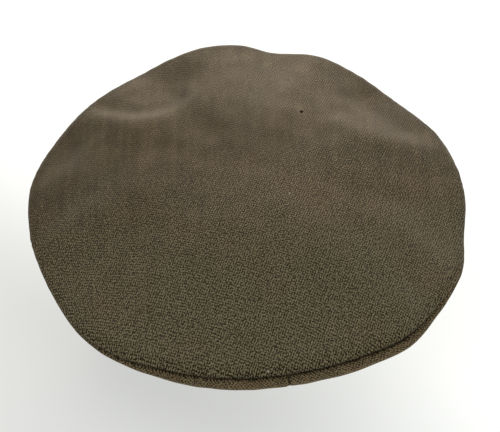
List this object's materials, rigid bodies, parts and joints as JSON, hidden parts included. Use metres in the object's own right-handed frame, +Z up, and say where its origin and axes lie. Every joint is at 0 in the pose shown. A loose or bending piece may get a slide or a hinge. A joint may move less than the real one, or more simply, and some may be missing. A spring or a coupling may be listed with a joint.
{
  "type": "trench cap",
  "caption": "Soft wool cap with a wide round crown, head band, short stitched peak and leather chin strap; worn on the head.",
  "frame": {"origin": "middle of the resting cap's box, on the ground under it", "axes": "+Z up, -Y towards the front of the peak, +X towards the wearer's left"},
  "size_m": [0.2858, 0.2984, 0.1193],
  "materials": {
    "wool": "rough milled wool twill, dark olive brown",
    "leather": "worn brown leather",
    "brass": "dull aged brass"
  },
  "bodies": {
    "root": {"crown_top": "wool", "quarter_front_left": "wool", "quarter_front_right": "wool", "quarter_back_left": "wool", "quarter_back_right": "wool", "band": "wool", "peak": "wool", "chin_strap": "leather", "button_left": "brass", "button_right": "brass"}
  },
  "joints": []
}
